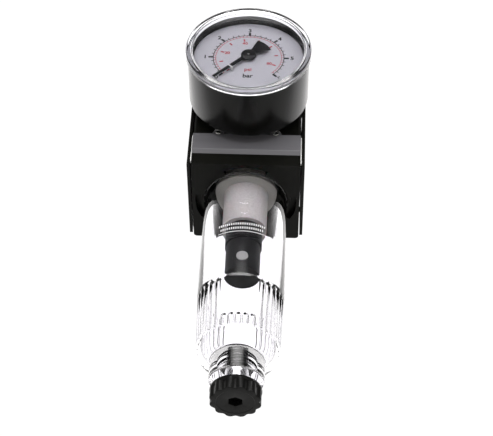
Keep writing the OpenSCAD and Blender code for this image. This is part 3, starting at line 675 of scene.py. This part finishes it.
lens_outline = ([(0, FRONT_Z - 0.5), (WINDOW_R - 0.6, FRONT_Z - 0.5),
                 (WINDOW_R - 0.1, FRONT_Z - 0.35), (WINDOW_R + 0.2, FRONT_Z)]
                + arc(LENS_R - 1.0, FRONT_Z - 1.0, 1.0, 90, 0, 6)
                + [(LENS_R, CASE_T + 0.45), (LENS_R - 0.2, CASE_T + 0.25),
                   (WINDOW_R + 0.05, CASE_T + 0.25),
                   (WINDOW_R - 0.2, FRONT_Z - WINDOW_T - 0.5), (WINDOW_R - 0.6, FRONT_Z - WINDOW_T),
                   (0, FRONT_Z - WINDOW_T)])
belongs(spin("clear_cap", lens_outline, "clear_lens", 192, place=AT_GAUGE, closed=False),
        "block", "clear_lens", "gauge_lens")

# %% [markdown]
# ## Thin rings under the clear cap
# Each ring has a rectangular section, so one line gives it: a name, two radii, two heights, a
# finish and a slot. A sleeve stands inside the window's edge, black inside and silvery outside.

# %% Rings under the cap
RINGS = (
    ("cap_seat_ring", WINDOW_R + 0.1, LENS_R - 1.1, CASE_T + 0.01, CASE_T + 0.2, "ring_silver", "label"),
    ("dial_rim", DIAL_R + 0.01, WINDOW_R - 0.02, DIAL_Z + 0.02, DIAL_Z + 0.5, "dial_paint", "dial"),
    ("window_sleeve", WINDOW_R - 0.45, WINDOW_R - 0.32, CASE_T, CASE_T + 1.0, "case_plastic", "gauge_case"),
    ("sleeve_silver", WINDOW_R - 0.30, WINDOW_R - 0.22, CASE_T, CASE_T + 0.95, "ring_silver", "label"),
)
for name, r_in, r_out, z_low, z_high, material, slot in RINGS:
    section = [(r_in, z_low), (r_out, z_low), (r_out, z_high), (r_in, z_high)]
    belongs(spin(name, section, material, 128, place=AT_GAUGE), "block", slot)

# %% [markdown]
# ## The dial's print
# A dial is printed, so its marks are as thin as ink. Here they are very thin solids just above
# the painted disc, so that they stay crisp and export as shapes. The black scale reads 0 to 6
# bar over three quarters of a turn, and a smaller red scale inside it reads psi.

# %% Dial scales
INK_Z = DIAL_Z + 0.5
INK_T = 0.03
ZERO, BAR_STEP = 225.0, -45.0
SCALE_R = 15.1
RED_R = SCALE_R - 1.0
LONG_MARK_R, SHORT_MARK_R = 17.4, 16.2
PSI_MARK_IN, PSI_MARK_OUT = 11.2, 12.8
BAR_IN_TEN_PSI = 0.68948


def tick_ring(name, r_in, r_out, width, material, count, start, step):
    """Printed marks between two radii, repeated by the ring tree."""
    points, faces = box_mesh((r_in, r_out), (-width / 2, width / 2), (INK_Z, INK_Z + INK_T))
    piece = ring_of(name, points, faces, material, count, start, step, AT_GAUGE)
    return belongs(piece, "block", "pointer" if material == "black_ink" else "dial")


tick_ring("marks_whole_bar", SCALE_R, LONG_MARK_R, 1.0, "black_ink", 7, ZERO, BAR_STEP)
tick_ring("marks_fifth_bar", SCALE_R, SHORT_MARK_R, 0.34, "black_ink", 31, ZERO, BAR_STEP / 5)
PSI_STEP = BAR_STEP * BAR_IN_TEN_PSI
tick_ring("marks_ten_psi", PSI_MARK_IN, PSI_MARK_OUT, 0.7, "red_ink", 9, ZERO, PSI_STEP)
tick_ring("marks_two_psi", RED_R, SCALE_R, 0.26, "red_ink", 44, ZERO, PSI_STEP / 5)


def scale_line(name, r, width, material, z):
    """A thin printed arc over the scale's three quarters of a turn."""
    steps = 120
    points, faces = [], []
    for i in range(steps + 1):
        a = math.radians(ZERO - 270 * i / steps)
        for radius, height in ((r, z), (r + width, z), (r + width, z + INK_T), (r, z + INK_T)):
            points.append((radius * math.cos(a), radius * math.sin(a), height))
    for i in range(steps):
        for k in range(4):
            j = (k + 1) % 4
            faces.append((4 * i + k, 4 * i + j, 4 * i + 4 + j, 4 * i + 4 + k))
    faces += [(0, 1, 2, 3), tuple(4 * steps + k for k in (3, 2, 1, 0))]
    mesh = bpy.data.meshes.new(name)
    mesh.from_pydata(points, [], faces)
    return belongs(settle(name, mesh, material, AT_GAUGE), "block", "dial")


scale_line("scale_arc_black", SCALE_R, 0.32, "black_ink", INK_Z)
scale_line("scale_arc_red", RED_R, 0.2, "red_ink", INK_Z)

# %% [markdown]
# ## The dial's numbers
# Each number is a text curve with a thickness and a small offset that makes it bolder. Turned
# into meshes, the numbers of one colour are joined into one thin piece.

# %% Dial numbers
BAR_NUMBER_R, PSI_NUMBER_R = 18.8, 9.8


def print_words(name, words, material, bold):
    """Joins short printed words, each (text, x, y, size), into one thin mesh on the dial."""
    work = bmesh.new()
    for text, x, y, size in words:
        curve = bpy.data.curves.new(name, "FONT")
        curve.body = text
        curve.size = size
        curve.extrude = INK_T / 2
        curve.offset = bold
        curve.align_x = "CENTER"
        curve.align_y = "CENTER"
        holder = show(name, curve)
        bpy.context.view_layer.update()
        graph = bpy.context.evaluated_depsgraph_get()
        letters = bpy.data.meshes.new_from_object(holder.evaluated_get(graph))
        letters.transform(Matrix.Translation((x, y, INK_Z + INK_T / 2)))
        work.from_mesh(letters)
        bpy.data.objects.remove(holder)
    mesh = bpy.data.meshes.new(name)
    work.to_mesh(mesh)
    work.free()
    return belongs(settle(name, mesh, material, AT_GAUGE), "block", "dial")


def around(values, r, step, size):
    """Places numbers on a circle of the scale, upright."""
    words = []
    for count, value in values:
        a = math.radians(ZERO + step * count)
        words.append((str(value), r * math.cos(a), r * math.sin(a), size))
    return words


print_words("bar_numbers", around([(n, n) for n in range(7)], BAR_NUMBER_R, BAR_STEP, 3.1)
            + [("bar", 0, -12.2, 3.3)], "black_ink", 0.1)
print_words("psi_numbers", around([(n, n * 10) for n in (2, 4, 6, 8)], PSI_NUMBER_R, PSI_STEP, 2.3)
            + [("psi", 0, -8.0, 2.9)], "red_ink", 0.06)

# %% [markdown]
# ## The pointer
# The pointer is stamped and painted black: a tapering arm with a short white mark across it, a
# fan behind it that balances it, and a round hub on a steel pin. The arm and the fan are one
# thin outline given a thickness and soft edges. The hub and the pin are spun.

# %% Pointer
POINTER_Z, POINTER_L, HUB_R, FAN_R = GAUGE_DEPTH - 3.6, 20.5, 3.2, 10


def sheet_metal(name, outline, z_low, z_high, material, place, edge=0.08):
    """A flat outline with a thickness and softened edges."""
    low = [(x, y, z_low) for x, y in outline]
    high = [(x, y, z_high) for x, y in outline]
    n = len(outline)
    faces = [tuple(range(n - 1, -1, -1)), tuple(range(n, 2 * n))]
    faces += [(i, (i + 1) % n, n + (i + 1) % n, n + i) for i in range(n)]
    mesh = bpy.data.meshes.new(name)
    mesh.from_pydata(low + high, [], faces)
    piece = settle(name, mesh, material, place)
    soft = piece.modifiers.new("soft edges", "BEVEL")
    soft.width = edge * MM
    soft.segments = 2
    soft.limit_method = "ANGLE"
    return piece


fan = [(FAN_R * math.cos(math.radians(a)), FAN_R * math.sin(math.radians(a)))
       for a in range(156, 205, 4)]
arm = [(2.0, -1.08), (POINTER_L, -0.5), (POINTER_L, 0.5), (2.0, 1.08)]
turned = AT_GAUGE @ Matrix.Rotation(math.radians(ZERO), 4, "Z")
outline = arm + [(-1.6, 1.0)] + fan + [(-1.6, -1.0)]
belongs(sheet_metal("pointer_arm", outline, POINTER_Z, POINTER_Z + 0.4, "pointer_paint", turned),
        "needle", "pointer", "pointer")
hub_outline = ([(0, POINTER_Z - 0.55), (HUB_R, POINTER_Z - 0.55)]
               + arc(HUB_R - 0.5, POINTER_Z + 0.25, 0.5, 0, 80, 5)
               + [(0.9, POINTER_Z + 0.78), (0.7, POINTER_Z + 0.6), (0, POINTER_Z + 0.6)])
belongs(spin("pointer_hub", hub_outline, "pointer_paint", 64, place=AT_GAUGE, closed=False),
        "needle", "pointer")
pin_outline = [(0, POINTER_Z + 0.5), (0.5, POINTER_Z + 0.5), (0.5, POINTER_Z + 0.8),
               (0.35, POINTER_Z + 0.95), (0, POINTER_Z + 1.0)]
belongs(spin("pointer_pin_end", pin_outline, "zinc_steel", 24, place=AT_GAUGE, closed=False),
        "needle", "steel")
mark = [(10.4, -1.25), (11.1, -1.25), (11.1, 1.25), (10.4, 1.25)]
belongs(sheet_metal("pointer_mark", mark, POINTER_Z + 0.41, POINTER_Z + 0.46, "white_ink", turned, 0.01),
        "needle", "ptfe")

# %% [markdown]
# ## The drain knob and stem
# Water collects in the bowl and is let out by turning a fluted knob. Its stem is threaded, and
# shows through the clear neck. Flutes and thread are the same trick: the radius follows the
# angle, and for a thread the height too.

# %% Drain knob
KNOB_R, KNOB_TOP, KNOB_END = 10.0, -96.5, -102.5
DRAIN_FLUTES, DRAIN_FLUTE_DEPTH = 12, 0.85
HEX_R = 3.05


def drain_flutes(angle, r, z):
    """Wide flutes that end under the round top rim."""
    if r < KNOB_R - 1.5:
        return r
    below = min(1.0, max(0.0, (KNOB_TOP - 1.1 - z) / 0.5))
    return r - DRAIN_FLUTE_DEPTH * below * (0.5 + 0.5 * math.cos(DRAIN_FLUTES * angle)) ** 1.3


def hexagon(angle, r, z):
    """Turns a circle of the socket's radius into a hexagon."""
    if abs(r - HEX_R) > 0.01:
        return drain_flutes(angle, r, z)
    return r * math.cos(math.pi / 6) / math.cos((angle + math.pi / 6) % (math.pi / 3) - math.pi / 6)


drain_outline = ([(0, KNOB_TOP)] + [(4.4, KNOB_TOP)] + arc(KNOB_R - 0.6, KNOB_TOP - 0.6, 0.6, 90, 0, 4)
                 + [(KNOB_R, KNOB_TOP - 1.1 - 0.1 * i) for i in range(6)]
                 + arc(KNOB_R - 0.4, KNOB_END + 0.4, 0.4, 0, -90, 4)
                 + [(7.4, KNOB_END), (7.2, KNOB_END + 0.15), (3.6, KNOB_END + 0.15), (HEX_R, KNOB_END + 0.3),
                    (HEX_R, KNOB_END + 3), (0, KNOB_END + 3)])
belongs(spin("drain_turn_knob", drain_outline, "drain_plastic", 288, shape=hexagon, closed=False),
        "drain_turner", "drain", "drain_knob")

# %% [markdown]
# ## The drain stem
# One turned piece: a peg that sits in the knob, the threaded part, and a flange on the bowl's
# floor with a shallow hole in its top. The threaded part has many rows, as its radius changes
# with the height.

# %% Drain stem
STEM_R, PEG_R, FLANGE_R = 4.4, 3.5, 6.2
THREAD_PITCH, THREAD_DEPTH = 1.25, 0.55


def stem_thread(angle, r, z):
    """A thread with straight flanks on the stem between the knob and the bowl's floor."""
    if abs(r - STEM_R) > 0.01 or z > FLOOR - 1 or z < KNOB_TOP + 0.3:
        return r
    phase = (z / THREAD_PITCH - angle / (2 * math.pi)) % 1
    return r - THREAD_DEPTH * abs(2 * phase - 1)


rows = 90
stem_rows = [(STEM_R, KNOB_TOP + 0.05 + (FLOOR + 0.9 - KNOB_TOP) * i / rows)
             for i in range(rows + 1)]
stem_outline = ([(0, KNOB_END + 3.1), (PEG_R, KNOB_END + 3.1), (PEG_R, KNOB_TOP + 0.04)]
                + stem_rows + [(FLANGE_R, FLOOR + 0.95), (FLANGE_R, FLOOR + 2.95)]
                + arc(FLANGE_R - 0.4, FLOOR + 2.95, 0.4, 0, 90, 3)
                + [(1.4, FLOOR + 3.35), (1.4, FLOOR + 1.5), (0, FLOOR + 1.5)])
belongs(spin("drain_screw", stem_outline, "drain_plastic", 72, shape=stem_thread, closed=False),
        "drain_valve", "drain", "drain_stem")

# %% [markdown]
# ## The setting knob
# The setting knob is pulled up to turn and pushed down to lock. It has many fine flutes and a
# grey cap, and is hollow below, where it slides over the top of the bonnet.

# %% Setting knob
GRIP_R, GRIP_BORE_R, GRIP_FLUTES = 14.0, 12.1, 24
FLUTE_FLOOR_R = 13.2
KNOB_LOW, KNOB_HIGH, KNOB_ROOF = 67.5, 94.5, 88.1
CAP_SEAT_R, SCREW_HOLE_R = 10.05, 3.0


def knob_flutes(angle, r, z):
    """Fine flutes that fade out where the knob's edges turn inwards."""
    if r < FLUTE_FLOOR_R:
        return r
    deep = max(0.0, math.cos(GRIP_FLUTES * angle)) ** 2
    return r - 0.9 * deep * min(1.0, (r - FLUTE_FLOOR_R) / 0.4)


knob_outline = ([(GRIP_BORE_R, KNOB_LOW), (13.3, KNOB_LOW)]
                + arc(GRIP_R - 0.6, KNOB_LOW + 0.6, 0.6, -90, 0, 3)
                + [(GRIP_R, KNOB_HIGH - 5)] + arc(GRIP_R - 1.2, KNOB_HIGH - 1.2, 1.2, 0, 90, 6)
                + [(10.3, KNOB_HIGH), (CAP_SEAT_R, KNOB_HIGH - 0.2), (CAP_SEAT_R, KNOB_HIGH - 1.5),
                   (SCREW_HOLE_R, KNOB_HIGH - 1.5), (SCREW_HOLE_R, KNOB_ROOF),
                   (GRIP_BORE_R, KNOB_ROOF)])
belongs(spin("setting_knob", knob_outline, "knob_plastic", 288, shape=knob_flutes),
        "knob", "knob", "adjusting_knob")
cap_outline = ([(0, KNOB_HIGH - 1.5), (9.95, KNOB_HIGH - 1.5), (9.95, KNOB_HIGH - 0.1)]
               + arc(9.3, KNOB_HIGH + 0.2, 0.6, 10, 90, 4)
               + [(7.2, KNOB_HIGH + 0.8), (6.9, KNOB_HIGH + 0.6), (0, KNOB_HIGH + 0.6)])
belongs(spin("knob_disc", cap_outline, "cap_plastic", 96, closed=False), "knob", "knob_cap", "knob_cap")

# %% [markdown]
# ## The bonnet
# The sprung cover keeps its CAD shape, with softened edges like the block's. Its neck takes a
# mounting ring.

# %% Bonnet
belongs(soften("sprung_cover", "bonnet", "bonnet_plastic", 0.3), "block", "bonnet", "bonnet")

# %% [markdown]
# ## Finishes for the CAD pieces that keep their shape
# Everything else has its right shape already: screws, seals, valve, filter stack and the
# gauge's movement. Each gets the finish that its material has.

# %% CAD pieces
KEEP = {
    "black_steel": ["plate_screws"],
    "zinc_steel": ["bonnet_screws", "adjusting_screw"],
    "spring_steel": ["main_spring", "valve_spring"],
    "black_rubber": ["diaphragm", "poppet_seal", "bowl_oring", "drain_oring", "plug_seal"],
    "turned_alloy": ["diaphragm_plate"],
    "turned_brass": ["relief_seat", "thrust_washer", "valve_seat", "valve_poppet", "pointer_arbor",
                     "sector_gear", "tube_link", "movement_frame", "bourdon_tube", "gauge_stem"],
    "white_nylon": ["spring_seat", "valve_guide"],
    "vane_plastic": ["deflector"],
    "sintered_beads": ["filter_element"],
    "cup_plastic": ["baffle_cup"],
    "plug_plastic": ["cup_plug"],
    "dial_paint": ["gauge_dial"],
    "white_ptfe": ["gauge_seal", "pointer_stop"],
    "bonnet_plastic": ["port_plug"],
}
for material, names in KEEP.items():
    for name in names:
        nodes[name].data.materials.clear()
        nodes[name].data.materials.append(FINISHES[material])
print(sum(len(names) for names in KEEP.values()), "CAD pieces finished")

# %% [markdown]
# ## The floor
# The part hangs from its neck, and the camera looks up at it. So the pale floor lies well
# below, where it sends a little light back onto the underside.

# %% Floor
FLOOR_Z, FLOOR_HALF = -0.75, 7.0
corners = [(x * FLOOR_HALF, y * FLOOR_HALF, FLOOR_Z) for x, y in ((-1, -1), (1, -1), (1, 1), (-1, 1))]
mesh = bpy.data.meshes.new("floor")
mesh.from_pydata(corners, [], [(0, 1, 2, 3)])
floor = show("floor", mesh)
mesh.materials.append(finish("floor_paint", (0.72, 0.72, 0.71), 0.7, grain=60, relief=0.5, uneven=0.02))
print("floor at", FLOOR_Z)
